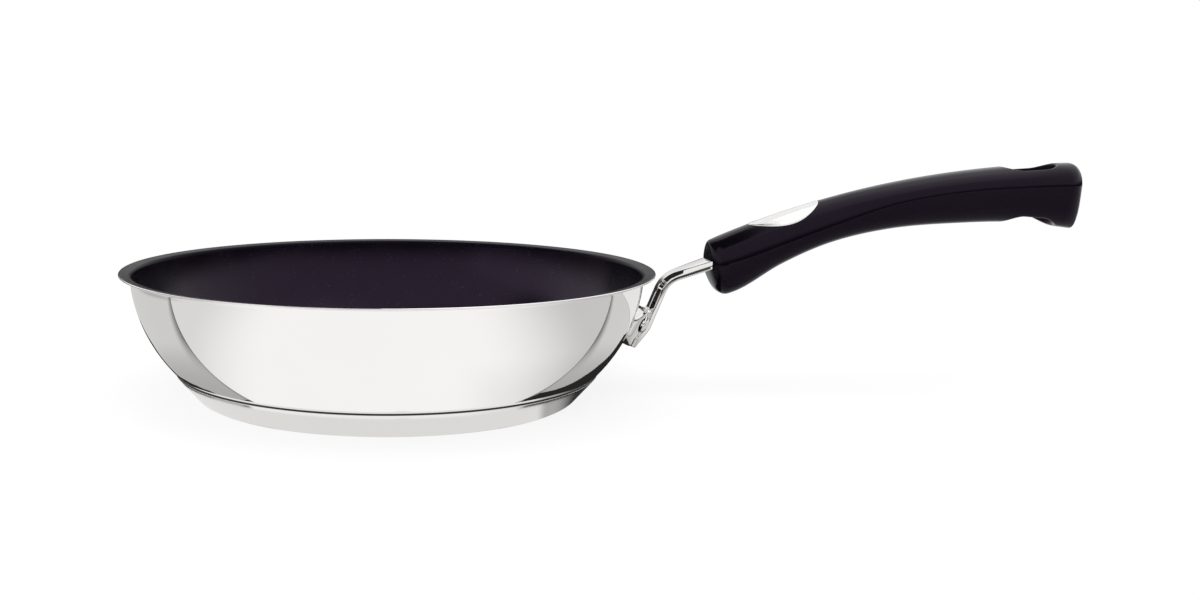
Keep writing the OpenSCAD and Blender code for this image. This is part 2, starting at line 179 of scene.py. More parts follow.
def lean_dir(lean):
    """Outward direction, in a side profile, of a face that leans this far from upright."""
    return np.array([cosd(lean), -sind(lean)])


def arc(centre, radius, lean_a, lean_b, steps):
    return [centre + radius * lean_dir(lean) for lean in np.linspace(lean_a, lean_b, steps + 1)]


# The pan's profile
LIP_RISE = LIP_RADIUS * (sind(LIP_LEAN) - sind(LEAN_TOP))
LIP_RISE = LIP_RISE + LIP_FLARE * cosd(LIP_LEAN) + SHEET * sind(LIP_LEAN)
LIP_REACH = LIP_RADIUS * (cosd(LEAN_TOP) - cosd(LIP_LEAN)) + LIP_FLARE * sind(LIP_LEAN)
WALL_TOP = np.array([RIM_DIAMETER / 2 - LIP_REACH, PAN_HEIGHT - LIP_RISE])
WALL_RADIUS = (WALL_TOP[1] - BAND_HEIGHT) / (sind(LEAN_SEAM) - sind(LEAN_TOP))
WALL_CENTRE = WALL_TOP - WALL_RADIUS * lean_dir(LEAN_TOP)
LIP_CENTRE = WALL_TOP + LIP_RADIUS * lean_dir(LEAN_TOP)
LIP_ALONG = np.array([sind(LIP_LEAN), cosd(LIP_LEAN)])
FLOOR_Z = CAP_SHEET + CORE
FLOOR_RADIUS = (BAND_HEIGHT - FLOOR_Z) / (1 - sind(LEAN_SEAM))
FLOOR_X = WALL_CENTRE[0] + (WALL_RADIUS - FLOOR_RADIUS) * cosd(LEAN_SEAM)
FLOOR_CENTRE = np.array([FLOOR_X, FLOOR_Z + FLOOR_RADIUS])
BAND_LEAN = LEAN_SEAM - BAND_STEP
SEAM = WALL_CENTRE + WALL_RADIUS * lean_dir(LEAN_SEAM)
BAND_OUT = lean_dir(BAND_LEAN)
CAP_EDGE = SEAM + CAP_SHEET * BAND_OUT
CAP_X = (CAP_EDGE @ BAND_OUT - CAP_RADIUS + CAP_RADIUS * sind(BAND_LEAN)) / cosd(BAND_LEAN)
CAP_CENTRE = np.array([CAP_X, CAP_RADIUS])


def flare_point(depth, setback):
    """A point on the lip's straight flare, short of its edge by a setback."""
    return LIP_CENTRE - (LIP_RADIUS + depth) * lean_dir(LIP_LEAN) + (LIP_FLARE - setback) * LIP_ALONG


def sheet_line(depth, setback):
    """Side profile of the sheet from the axis out to the lip, moved inwards by a depth."""
    return (
        flat_disc(FLOOR_Z + depth, FLOOR_X)
        + arc(FLOOR_CENTRE, FLOOR_RADIUS - depth, 90, LEAN_SEAM, 24)
        + arc(WALL_CENTRE, WALL_RADIUS - depth, LEAN_SEAM, LEAN_TOP, 64)[1:]
        + arc(LIP_CENTRE, -LIP_RADIUS - depth, LEAN_TOP, LIP_LEAN, 20)[1:]
        + [flare_point(depth, setback + (LIP_FLARE - setback) * t) for t in (0.75, 0.5, 0.25, 0.0)]
    )


def flat_disc(z, radius, rings=6):
    return [np.array([radius * i / rings, z]) for i in range(rings)]


# Mesh helpers
def add_object(name, data):
    obj = bpy.data.objects.new(name, data)
    bpy.context.scene.collection.objects.link(obj)
    return obj


def mesh_object(name, points, faces, sharp=None, normals=None):
    """An object from a closed surface's points in millimetres, with its faces turned outwards."""
    mesh = bpy.data.meshes.new(name)
    mesh.from_pydata((np.asarray(points, float) * MM).tolist(), [], faces)
    mesh.validate()
    bm = bmesh.new()
    bm.from_mesh(mesh)
    bmesh.ops.recalc_face_normals(bm, faces=bm.faces)
    bm.to_mesh(mesh)
    bm.free()
    mesh.shade_smooth()
    if sharp is not None:
        mesh.set_sharp_from_angle(angle=math.radians(sharp))
    if normals is not None:
        mesh.normals_split_custom_set_from_vertices(normals.tolist())
    return add_object(name, mesh)


def ring_faces(rings, n):
    """Quads between rings of n points, and a fan at each end to one of the two points that follow them."""
    faces = []
    for r in range(0, (rings - 1) * n, n):
        for c in range(n):
            d = (c + 1) % n
            faces.append((r + c, r + d, r + n + d, r + n + c))
    start, last = rings * n, (rings - 1) * n
    faces += [(start, (c + 1) % n, c) for c in range(n)]
    faces += [(start + 1, last + c, last + (c + 1) % n) for c in range(n)]
    return faces


def lathe_mesh(profile, turns=TURNS):
    """Points and faces of a profile turned round Z. Its first and last points lie on the axis."""
    line = np.asarray(profile[1:-1], float)
    angle = np.arange(turns) * 2 * math.pi / turns
    r, z = line[:, :1], np.repeat(line[:, 1:], turns, axis=1)
    points = np.stack([r * np.cos(angle), r * np.sin(angle), z], axis=2).reshape(-1, 3)
    poles = [[0, 0, profile[0][1]], [0, 0, profile[-1][1]]]
    return np.vstack([points, poles]), ring_faces(len(line), turns)


def evaluated(obj):
    """Bakes the object's modifiers into its mesh."""
    graph = bpy.context.evaluated_depsgraph_get()
    mesh = bpy.data.meshes.new_from_object(obj.evaluated_get(graph))
    old = obj.data
    obj.modifiers.clear()
    obj.data = mesh
    bpy.data.meshes.remove(old)
    return obj


def cut(obj, cutters):
    """Takes the cutters' solids out of the object."""
    for cutter in cutters:
        change = obj.modifiers.new("cut", "BOOLEAN")
        change.operation = "DIFFERENCE"
        change.solver = "EXACT"
        change.object = cutter
        evaluated(obj)
        bpy.data.objects.remove(cutter)
    return obj


# Body, lining and base
def build_body():
    half = SHEET / 2
    middle = flare_point(half, half)
    turn = np.linspace(0, math.pi, 15)[1:-1]
    edge = [middle + half * (lean_dir(LIP_LEAN) * math.cos(t) + LIP_ALONG * math.sin(t)) for t in turn]
    line = sheet_line(0, half) + edge + sheet_line(SHEET, half)[::-1]
    return mesh_object("pan_shell", *lathe_mesh(line))


def build_lining():
    inside = sheet_line(SHEET + LINING, LINING_SETBACK + LINING_TAPER)
    return mesh_object("dark_lining", *lathe_mesh(sheet_line(SHEET, LINING_SETBACK) + inside[::-1]))


def build_cap():
    down = np.array([BAND_OUT[1], -BAND_OUT[0]])
    corner = CAP_EDGE - BAND_EDGE_ROUND * BAND_OUT + BAND_EDGE_ROUND * down
    turn = np.linspace(0, math.pi / 2, 6)
    rounded = [corner + BAND_EDGE_ROUND * (BAND_OUT * math.cos(t) - down * math.sin(t)) for t in turn]
    inner = arc(CAP_CENTRE, CAP_RADIUS - CAP_SHEET, 90, BAND_LEAN, 11)
    outer = arc(CAP_CENTRE, CAP_RADIUS, 90, BAND_LEAN, 20)
    band = [outer[-1] + (rounded[0] - outer[-1]) * t for t in (0.33, 0.66)]
    line = flat_disc(0, CAP_X, 12) + outer + band + rounded + [SEAM] + inner[::-1]
    line += flat_disc(CAP_SHEET, CAP_X)[::-1]
    return mesh_object("base_shell", *lathe_mesh(line), sharp=32)


# Smooth solids from distance fields
def smooth_min(a, b, k):
    h = np.clip(k - np.abs(a - b), 0, None) / k
    return np.minimum(a, b) - h * h * k / 4


def smooth_max(a, b, k):
    return -smooth_min(-a, -b, k)


def surface_of(field, low, high, step):
    """Points, quads and normals of the surface where the field is 0, with each point moved onto it."""
    axes = [np.arange(lo, hi + step, step) for lo, hi in zip(low, high)]
    shape = tuple(len(a) for a in axes)
    values = np.empty(shape, np.float32)
    gy, gz = np.meshgrid(axes[1], axes[2], indexing="ij")
    for i, x in enumerate(axes[0]):
        spots = np.stack([np.full(gy.size, x), gy.ravel(), gz.ravel()], axis=1)
        values[i] = field(spots).reshape(gy.shape)
    cells = tuple(n - 1 for n in shape)
    total = np.zeros((np.prod(cells), 3))
    count = np.zeros(np.prod(cells))
    edges = []
    for axis in range(3):
        near = np.take(values, range(shape[axis] - 1), axis)
        far = np.take(values, range(1, shape[axis]), axis)
        crossing = (near < 0) != (far < 0)
        spot = np.argwhere(crossing)
        place = spot.astype(float)
        place[:, axis] += near[crossing] / (near[crossing] - far[crossing])
        u, v = [a for a in range(3) if a != axis]
        around = []
        for du, dv in ((1, 1), (0, 1), (0, 0), (1, 0)):
            cell = spot.copy()
            cell[:, u] -= du
            cell[:, v] -= dv
            around.append(cell)
        fits = np.all([np.all((c >= 0) & (c < cells), axis=1) for c in around], axis=0)
        flat = [np.ravel_multi_index(c[fits].T, cells) for c in around]
        for f in flat:
            for k in range(3):
                total[:, k] += np.bincount(f, place[fits][:, k], len(count))
            count += np.bincount(f, minlength=len(count))
        ring = np.stack(flat, axis=1)
        turned = (near[crossing] < 0)[fits]
        if axis == 1:
            turned = ~turned
        ring[turned] = ring[turned][:, ::-1]
        edges.append(ring)
    used = np.flatnonzero(count)
    number = np.full(len(count), -1)
    number[used] = np.arange(len(used))
    points = total[used] / count[used, None] * step + np.array([a[0] for a in axes])
    for _ in range(4):
        value, slope = field_slope(field, points)
        points -= np.clip(value, -step, step)[:, None] * slope
    _, normals = field_slope(field, points, 0.01)
    normals /= np.maximum(np.linalg.norm(normals, axis=1, keepdims=True), 1e-9)
    return points, number[np.vstack(edges)].tolist(), normals


def field_slope(field, points, reach=0.02):
    value = field(points)
    slope = np.empty_like(points)
    for k in range(3):
        shift = np.zeros(3)
        shift[k] = reach
        slope[:, k] = (field(points + shift) - field(points - shift)) / (2 * reach)
    size = np.maximum((slope**2).sum(axis=1, keepdims=True), 0.05)
    return value, slope / size


# Bracket
def wall_lean(z):
    return math.degrees(math.asin((WALL_CENTRE[1] - z) / WALL_RADIUS))


def wall_r(z):
    return WALL_CENTRE[0] + WALL_RADIUS * cosd(wall_lean(z))


FOOT_LEAN = wall_lean(FOOT_HEIGHT)
FOOT_POINT = np.array([wall_r(FOOT_HEIGHT), FOOT_HEIGHT])
FOOT_OUT = lean_dir(FOOT_LEAN)
FOOT_UP = np.array([sind(FOOT_LEAN), cosd(FOOT_LEAN)])
NECK_ALONG = np.array([cosd(NECK_SLOPE), sind(NECK_SLOPE)])
STRAP_LOW = FOOT_POINT + (FOOT_DEPTH - TIP_SINK) * FOOT_OUT - FOOT_BELOW * FOOT_UP
STRAP_KNEE = FOOT_POINT + (FOOT_DEPTH + STRAP_THICKNESS / 2) * FOOT_OUT + FOOT_ABOVE / 3 * FOOT_UP
BEND_CORNER = np.array([RIM_DIAMETER / 2 + BEND_REACH, PAN_HEIGHT - BEND_DROP])
NECK_END = BEND_CORNER + NECK_LENGTH * NECK_ALONG
RIVET_Z = FOOT_HEIGHT + RIVET_RISE * cosd(FOOT_LEAN)
RIVET_TURN = math.degrees(math.asin(RIVET_SPACING / 2 / wall_r(RIVET_Z)))


def corner_arc(a, b, c, radius):
    """Start, end, centre and side of the arc that rounds a path's corner at b."""
    into = (b - a) / np.linalg.norm(b - a)
    out = (c - b) / np.linalg.norm(c - b)
    turn = math.acos(float(into @ out))
    side = -1 if into[0] * out[1] - into[1] * out[0] < 0 else 1
    back = radius * math.tan(turn / 2)
    start, end = b - into * back, b + out * back
    return start, end, start + side * radius * np.array([-into[1], into[0]]), side


def strap_path():
    """Lines and arcs of the strap's middle, from the foot's tip to inside the grip."""
    last = NECK_END + STRAP_ENTRY * NECK_ALONG
    k0, k1, kc, ks = corner_arc(STRAP_LOW, STRAP_KNEE, BEND_CORNER, KNEE_RADIUS)
    b0, b1, bc, bs = corner_arc(STRAP_KNEE, BEND_CORNER, last, BEND_RADIUS)
    return [
        ("line", STRAP_LOW, k0),
        ("arc", k0, k1, kc, ks, KNEE_RADIUS),
        ("line", k1, b0),
        ("arc", b0, b1, bc, bs, BEND_RADIUS),
        ("line", b1, last),
    ]


PATH = strap_path()


def path_offset(spots):
    """For points in the XZ plane: how far they lie above the path, and how far beyond either end."""
    best = np.full(len(spots), 1e9)
    above = np.zeros(len(spots))
    beyond = np.full(len(spots), -1e9)
    for i, piece in enumerate(PATH):
        a, b = piece[1], piece[2]
        if piece[0] == "line":
            length = np.linalg.norm(b - a)
            along = (b - a) / length
            s = (spots - a) @ along
            lift = (spots - a) @ np.array([-along[1], along[0]])
            out = np.maximum(-s, s - length)
            distance = np.hypot(np.clip(out, 0, None), lift)
        else:
            centre, side, radius = piece[3:]
            arm = spots - centre
            reach = np.hypot(arm[:, 0], arm[:, 1])
            lift = side * (radius - reach)
            mid = (a + b) / 2 - centre
            mid = mid / np.linalg.norm(mid)
            half = math.acos(float((a - centre) @ mid) / radius)
            angle = np.arccos(np.clip(arm @ mid / np.maximum(reach, 1e-9), -1, 1))
            out = (angle - half) * radius
            ends_off = np.minimum(np.hypot(*(spots - a).T), np.hypot(*(spots - b).T))
            distance = np.where(out <= 0, np.abs(lift), ends_off)
        closer = distance < best - 1e-9
        best = np.where(closer, distance, best)
        above = np.where(closer, lift, above)
        ends = np.full(len(spots), -1e9)
        if i == 0:
            ends = -s
        if i == len(PATH) - 1:
            ends = s - length
        beyond = np.where(closer, ends, beyond)
    return above, beyond


RIVET_FRAMES = []
for side in (-1, 1):
    turn = Matrix.Rotation(math.radians(side * RIVET_TURN), 4, "Z")
    shift = Matrix.Translation((wall_r(RIVET_Z), 0, RIVET_Z))
    lean = Matrix.Rotation(math.radians(wall_lean(RIVET_Z) + 90), 4, "Y")
    RIVET_FRAMES.append(turn @ shift @ lean)


def bracket_field(p):
    """How far points lie outside the bracket, in millimetres, and less than 0 inside it."""
    x, y, z = p.T
    flat = p[:, [0, 2]]
    beside = np.abs(y)
    # foot
    local = flat - FOOT_POINT
    fx, fz = local @ FOOT_OUT, local @ FOOT_UP
    mid = (FOOT_ABOVE - FOOT_BELOW) / 2
    tall = (FOOT_ABOVE + FOOT_BELOW) / 2 - FOOT_CORNER
    qy = beside - (FOOT_WIDTH / 2 - FOOT_CORNER)
    qz = np.abs(fz - mid) - tall
    outline = np.hypot(np.clip(qy, 0, None), np.clip(qz, 0, None))
    outline = outline + np.minimum(np.maximum(qy, qz), 0) - FOOT_CORNER
    crown = np.hypot(fx - (FOOT_DEPTH - FOOT_CROWN), y) - FOOT_CROWN
    # 8 mm behind its middle the foot lies well inside the wall, which is taken away below
    foot = smooth_max(smooth_max(outline, crown, FOOT_EDGE_ROUND), -fx - 8, 0.2)
    # strap
    above, beyond = path_offset(flat)
    thick = STRAP_THICKNESS / 2
    share = np.clip(smooth_max((x - BEND_CORNER[0]) / (NECK_END[0] - BEND_CORNER[0]), 0, 0.3), 0, 1)
    half = (LEG_WIDTH + (NECK_WIDTH - LEG_WIDTH) * share) / 2
    # the bevel narrows along the neck, whose top is slightly crowned
    inset = BEVEL_IN * np.clip(smooth_max(1 - BEVEL_RUN_OUT * share, BEVEL_LEFT, 0.2), BEVEL_LEFT, 1)
    drop = STRAP_THICKNESS - STRAP_SIDE
    bevel = ((beside - half) * drop + (above - (STRAP_SIDE - thick)) * inset) / np.hypot(drop, inset)
    crowned = above - thick + NECK_CROWN * share * np.clip(beside / half, 0, 1.1) ** 4
    strap = smooth_max(beside - half, -above - thick, STRAP_LOW_ROUND)
    strap = smooth_max(strap, crowned, STRAP_TOP_ROUND)
    strap = smooth_max(strap, bevel, STRAP_TOP_ROUND)
    strap = smooth_max(strap, beyond, STRAP_TIP_ROUND)
    # tang
    tang_at = flat - NECK_END
    ts, tn = tang_at @ NECK_ALONG, tang_at @ np.array([-NECK_ALONG[1], NECK_ALONG[0]])
    tang = np.maximum(beside - TANG_WIDTH / 2, np.abs(tn) - thick)
    tang = np.maximum(tang, np.maximum(STRAP_ENTRY - TANG_OVERLAP - ts, ts - TANG_LENGTH))
    solid = smooth_min(foot, strap, FOOT_BLEND)
    wall = WALL_RADIUS - np.hypot(np.hypot(x, y) - WALL_CENTRE[0], z - WALL_CENTRE[1])
    solid = smooth_max(solid, wall, WALL_ROUND)
    for frame_at in RIVET_FRAMES:
        back = np.array(frame_at.inverted())
        q = p @ back[:3, :3].T + back[:3, 3]
        seat = np.hypot(q[:, 0], q[:, 1]) - (RIVET_HEAD / 2 + RIVET_SEAT_MARGIN)
        spot = np.maximum(seat, RIVET_GRIP - q[:, 2])
        solid = smooth_max(solid, -spot, RIVET_SEAT_ROUND)
    return np.minimum(solid, tang)


def build_bracket():
    # a box that holds the whole bracket
    low = (102.0, -FOOT_WIDTH / 2 - 1.0, 20.0)
    high = (190.0, FOOT_WIDTH / 2 + 1.0, 76.0)
    step = FULL_STEP
    points, faces, normals = surface_of(bracket_field, low, high, step)
    return mesh_object("polished_bracket", points, faces, normals=normals)


# Rivets
def dome_profile(diameter, height, edge):
    """From the axis over a shallow dome with a short upright edge."""
    rise = height - edge
    ball = (diameter**2 / 4 + rise**2) / (2 * rise)
    reach = math.asin(min(1.0, diameter / 2 / ball))
    turn = np.linspace(0, reach * 0.985, 20)
    top = [np.array([ball * math.sin(a), height - ball * (1 - math.cos(a))]) for a in turn]
    rim = np.array([diameter / 2, edge])
    foot = np.array([diameter / 2, 0.0])
    return top + [rim - [0.03, -0.02], rim - [0, 0.12], foot + [0, 0.05], foot - [0.05, 0]]


def build_rivets():
    under = SHEET + LINING + SEAT_GAP
    outer = dome_profile(RIVET_HEAD, RIVET_DOME, 0.45)
    inner = dome_profile(RIVET_INNER_HEAD, RIVET_INNER_HEIGHT, 0.5)
    line = [p + [0, RIVET_GRIP] for p in outer]
    line += [np.array([RIVET_SHANK / 2, RIVET_GRIP]), np.array([RIVET_SHANK / 2, -under])]
    line += [np.array([p[0], -under - p[1]]) for p in inner[::-1]]
    points, faces = lathe_mesh(line, RIVET_TURNS)
    all_points, all_faces = [], []
    for at in RIVET_FRAMES:
        m = np.array(at)
        first = len(points) * len(all_points)
        all_faces += [tuple(i + first for i in f) for f in faces]
        all_points.append(points @ m[:3, :3].T + m[:3, 3])
    return mesh_object("domed_rivets", np.vstack(all_points), all_faces, sharp=40)


# Grip
def section_value(t, column):
    """A smooth curve through one column of the grip's sections."""
    table = GRIP_SECTIONS
    t = np.asarray(t, float)
    i = np.clip(np.searchsorted(table[:, 0], t, side="left") - 1, 0, len(table) - 2)
    rows = np.arange(len(table))
    a, b = np.maximum(rows - 1, 0), np.minimum(rows + 1, len(table) - 1)
    slope = (table[b, column] - table[a, column]) / (table[b, 0] - table[a, 0])
    width = table[i + 1, 0] - table[i, 0]
    s = (t - table[i, 0]) / width
    return (
        table[i, column] * (1 + 2 * s) * (1 - s) ** 2
        + width * slope[i] * s * (1 - s) ** 2
        + table[i + 1, column] * s**2 * (3 - 2 * s)
        - width * slope[i + 1] * s**2 * (1 - s)
    )


def crest(x):
    """Height of the grip's crest at x, which is counted from its front face, above the neck's end."""
    s = x / GRIP_LENGTH
    return (
        GRIP_FRONT_TOP
        + GRIP_LENGTH * math.tan(math.radians(GRIP_FRONT_SLOPE)) * s * (1 - s) ** 2
        + (GRIP_TAIL_TOP - GRIP_FRONT_TOP) * s**2 * (3 - 2 * s)
        - GRIP_LENGTH * math.tan(math.radians(GRIP_TAIL_SLOPE)) * s**2 * (1 - s)
    )


def rounding(distance, radius):
    """How far a face draws in, this far from an edge that a radius rounds."""
    inside = np.clip(radius - distance, 0, radius)
    return radius - np.sqrt(radius**2 - inside**2)


HOLE_FAR = GRIP_LENGTH - HOLE_MARGIN - HOLE_WIDTH / 2
HOLE_NEAR = HOLE_FAR - (HOLE_LENGTH - HOLE_WIDTH)


def grip_shape(x, inset=0.0):
    """Half width, crease height, crown above it and belly below it, at x."""
    t = x / GRIP_LENGTH
    back = GRIP_LENGTH - x
    crown = GRIP_DEPTH * section_value(t, 1)
    crease = crest(x) - crown
    up = crown - rounding(x, FRONT_EDGE) - rounding(back, TAIL_EDGE) - inset
    belly = GRIP_DEPTH * section_value(t, 2)
    heel = (belly - END_BELLY) * np.clip(1 - x / FRONT_HEEL, 0, 1) ** HEEL_POWER
    slant = (belly - END_BELLY) * np.clip(1 - back / TAIL_SLANT, 0, 1)
    down = belly - heel - slant - inset
    half = GRIP_WIDTH / 2 * section_value(t, 3)
    half = half - rounding(x, FRONT_ROUND) - rounding(back, TAIL_ROUND) - inset
    return half, crease, up, down


def spread(line, count):
    """The line's points moved so that they lie at even distances."""
    step = np.r_[0, np.cumsum(np.hypot(*np.diff(line, axis=0).T))]
    want = np.linspace(0, step[-1], count + 1)
    return np.stack([np.interp(want, step, line[:, k]) for k in range(2)], axis=1)


def grip_ring(x):
    half, crease, up, down = (float(v) for v in grip_shape(np.array(x)))
    a = np.linspace(0, math.pi, 361)
    crown = np.stack([half * np.cos(a), crease + up * np.sin(a)], axis=1)
    c, s = np.cos(a), np.sin(a)
    low = np.abs(s) ** BELLY_POWER
    beside = -half * np.sign(c) * np.abs(c) ** BELLY_POWER * (1 - BELLY_TAPER * low)
    belly = np.stack([beside, crease - down * low], axis=1)
    return np.vstack([spread(crown, GRIP_AROUND)[:-1], spread(belly, GRIP_AROUND)[:-1]])


def crown_height(x, y, inset=0.0):
    half, crease, up, _ = grip_shape(x, inset)
    return crease + up * np.sqrt(np.clip(1 - (y / half) ** 2, 0, 1))


def belly_height(x, y):
    half, crease, _, down = grip_shape(x)
    power = 2 / BELLY_POWER
    low = np.ones_like(np.asarray(y, float))
    for _ in range(8):
        share = np.abs(y) / (half * (1 - BELLY_TAPER * low))
        low = np.clip(1 - share**power, 0, 1) ** (1 / power)
    return crease - down * low


def at_neck(points):
    return np.asarray(points, float) + [NECK_END[0], 0, NECK_END[1]]


def loop_solid(name, rings):
    """A closed solid through rings of points, with a fan at each end."""
    points = np.vstack(rings + [rings[0].mean(axis=0), rings[-1].mean(axis=0)])
    return mesh_object(name, points, ring_faces(len(rings), len(rings[0])))


def slot_ring(grow, count=96):
    """Outline of the hanging hole, grown outwards, as x and y from the neck's end."""
    radius = HOLE_WIDTH / 2 + grow
    a = np.linspace(0, 2 * math.pi, count, endpoint=False) + math.pi / count
    x = np.where(np.cos(a) > 0, HOLE_FAR, HOLE_NEAR) + radius * np.cos(a)
    return x, radius * np.sin(a)


def hole_edge(size, face, side, far):
    """Rings from a level one off the grip, over a rounded edge on its face, to the hole's own width."""
    rings = []
    for k in np.linspace(0, 1, 9):
        x, y = slot_ring(size * (1 - math.sin(k * math.pi / 2)))
        depth = size * (1 - math.cos(k * math.pi / 2))
        if k == 0:
            rings.append(np.stack([x, y, np.full_like(x, far)], axis=1))
            depth = -0.02
        rings.append(np.stack([x, y, face(x, y) - side * depth], axis=1))
    return rings


def hole_cutter():
    """The hanging hole, with its upper and lower edges rounded along the grip's own faces."""
    top = hole_edge(HOLE_TOP_EDGE, crown_height, 1, GRIP_TAIL_TOP + 6)
    low = hole_edge(HOLE_LOW_EDGE, belly_height, -1, -6.0)
    return loop_solid("hole_cutter", [at_neck(r) for r in top + low[::-1]])


def prism(name, outline, low, high, direction, origin):
    """A straight solid on an outline given as (along, across), standing along 'direction'."""
    outline = np.asarray(outline, float)
    direction = np.asarray(direction, float)
    along = np.array([direction[2], 0, -direction[0]])
    rings = []
    for h in (low, high):
        rings.append(origin + outline[:, :1] * along + outline[:, 1:] * [0, 1, 0] + h * direction)
    return loop_solid(name, rings)


def circle(radius, count=48):
    a = np.arange(count) * 2 * math.pi / count
    return np.stack([radius * np.cos(a), radius * np.sin(a)], axis=1)


def box_outline(x0, x1, half):
    return [[x0, -half], [x1, -half], [x1, half], [x0, half]]


BADGE_SLOPE = math.atan(float(crest(BADGE_PLACE + 0.5) - crest(BADGE_PLACE - 0.5)))
BADGE_UP = np.array([-math.sin(BADGE_SLOPE), 0, math.cos(BADGE_SLOPE)])
BADGE_ALONG = np.array([math.cos(BADGE_SLOPE), 0, math.sin(BADGE_SLOPE)])
BADGE_SPOT = np.array([BADGE_PLACE, 0, float(crest(BADGE_PLACE))])


def oval(share, grow=0.0):
    """A share of the badge's outline, grown outwards, as lengths along and across it."""
    a = np.linspace(0, 2 * math.pi, OVAL_POINTS, endpoint=False)
    return (share * BADGE_LENGTH / 2 + grow) * np.cos(a), (share * BADGE_WIDTH / 2 + grow) * np.sin(a)


def badge_ring(u, v, inset):
    """Points of the badge at these lengths along and across, on the grip's crown moved in by an inset."""
    flat = BADGE_SPOT + u[:, None] * BADGE_ALONG + v[:, None] * [0, 1, 0]
    w = np.zeros_like(u)
    for _ in range(30):
        p = flat + w[:, None] * BADGE_UP
        w -= 0.8 * (p[:, 2] - crown_height(p[:, 0], p[:, 1], inset))
    return flat + w[:, None] * BADGE_UP


def badge_cutter():
    outline = oval(1, BADGE_CLEARANCE)
    rings = [badge_ring(*outline, 0) + 12 * BADGE_UP]
    rings += [badge_ring(*outline, d) for d in (-0.5, BADGE_THICKNESS)]
    rings += [badge_ring(*oval(share), BADGE_THICKNESS) for share in np.linspace(0.9, 0.1, 9)]
    return loop_solid("badge_cutter", [at_neck(r) for r in rings])


def build_grip():
    steps = 300
    k = np.arange(steps + 1) / steps
    # sections a little closer together towards both ends
    x = (GRIP_LENGTH - 0.01) * (1 - np.cos(math.pi * k)) / 2
    x = 0.45 * x + 0.55 * (GRIP_LENGTH - 0.01) * k
    rings = [at_neck(np.column_stack([np.full(2 * GRIP_AROUND, v), grip_ring(v)])) for v in x]
    grip = loop_solid("moulded_grip", rings)
    up = np.array([-NECK_ALONG[1], 0, NECK_ALONG[0]])
    origin = np.array([NECK_END[0], 0, NECK_END[1]])
    thick = STRAP_THICKNESS / 2 + SOCKET_CLEARANCE
    screw = origin + SCREW_PLACE * np.array([NECK_ALONG[0], 0, NECK_ALONG[1]])
    entry = box_outline(-3, STRAP_ENTRY + SOCKET_CLEARANCE, NECK_WIDTH / 2 + SOCKET_CLEARANCE)
    tang = box_outline(2, TANG_LENGTH + SOCKET_CLEARANCE, TANG_WIDTH / 2 + SOCKET_CLEARANCE)
    cutters = [
        hole_cutter(),
        badge_cutter(),
        prism("cut_pocket", circle(POCKET_RADIUS), POCKET_FLOOR, POCKET_TOP, up, screw),
        prism("cut_insert", circle(INSERT_RADIUS), -thick - INSERT_DEPTH, 0.4, up, screw),
        prism("cut_entry", entry, -thick, thick, up, origin),
        # 0.001 mm thinner, so that no faces of two cutters lie in one plane
        prism("cut_tang", tang, -thick + 0.001, thick - 0.001, up, origin),
    ]
    cut(grip, cutters)
    grip.data.shade_smooth()
    grip.data.set_sharp_from_angle(angle=math.radians(24))
    return grip


def smooth_step(t):
    t = min(1.0, max(0.0, t))
    return t * t * (3 - 2 * t)


def build_badge():
    """The bare oval plate: a slightly sunk field, a border with a rounded edge, side and underside."""
    rings = []
    field = np.linspace(0.04, BADGE_BORDER - 0.02, 20)
    step_down = np.linspace(BADGE_BORDER - 0.01, BADGE_BORDER + 0.02, 7)
    for share in np.r_[field, step_down, 0.88, 0.93]:
        step = BADGE_SUNK * (1 - smooth_step((share - BADGE_BORDER + 0.005) / 0.02))
        rings.append(badge_ring(*oval(share), -BADGE_PROUD + step))
    for turn in np.linspace(0, math.pi / 2, 7):
        outline = oval(1, -BADGE_EDGE + BADGE_EDGE * math.sin(turn))
        rings.append(badge_ring(*outline, -BADGE_PROUD + BADGE_EDGE * (1 - math.cos(turn))))
    for share in np.linspace(1, 0.04, 16):
        rings.append(badge_ring(*oval(share), BADGE_THICKNESS - 0.02))
    badge = loop_solid("oval_badge", [at_neck(r) for r in rings])
    badge.data.set_sharp_from_angle(angle=math.radians(50))
    return badge


# Materials. Each helper adds to the node tree that it is given.
def feed(tree, value, socket):
    """Sets a socket to a number or a colour, or links it to another node's output."""
    if isinstance(value, (int, float)):
        socket.default_value = value
    elif isinstance(value, tuple):
        socket.default_value = (*value, 1.0)
    else:
        tree.links.new(value, socket)


def add_node(tree, kind, inputs=None):
    node = tree.nodes.new("ShaderNode" + kind)
    for name, value in (inputs or {}).items():
        feed(tree, value, node.inputs[name])
    return node


def bare_material(name):
    material = bpy.data.materials.new(name)
    material.use_nodes = True
    tree = material.node_tree
    tree.nodes.clear()
    return material, tree, add_node(tree, "OutputMaterial")


METAL = {"Metallic": 1.0}


def dark_plastic(specular):
    return {"Metallic": 0.0, "Specular IOR Level": specular, "Specular Tint": (0.86, 0.62, 1.0)}


def new_material(name, settings):
    """A material, with its tree, its shader and the socket of the object's own coordinates."""
    material, tree, out = bare_material(name)
    shader = add_node(tree, "BsdfPrincipled", settings)
    tree.links.new(shader.outputs["BSDF"], out.inputs["Surface"])
    return material, tree, shader, object_point(tree)


def paint(tree, shader, colour, roughness):
    tree.links.new(colour, shader.inputs["Base Color"])
    tree.links.new(roughness, shader.inputs["Roughness"])


def glowing_material(name):
    """A material that gives light and takes none, with the socket that sets how much."""
    material, tree, out = bare_material(name)
    glow = add_node(tree, "Emission")
    tree.links.new(glow.outputs[0], out.inputs["Surface"])
    return material, tree, glow.inputs["Strength"]


def math_node(tree, operation, *values):
    node = add_node(tree, "Math", dict(enumerate(values)))
    node.operation = operation
    return node.outputs[0]


def product(tree, a, b):
    return math_node(tree, "MULTIPLY", a, b)


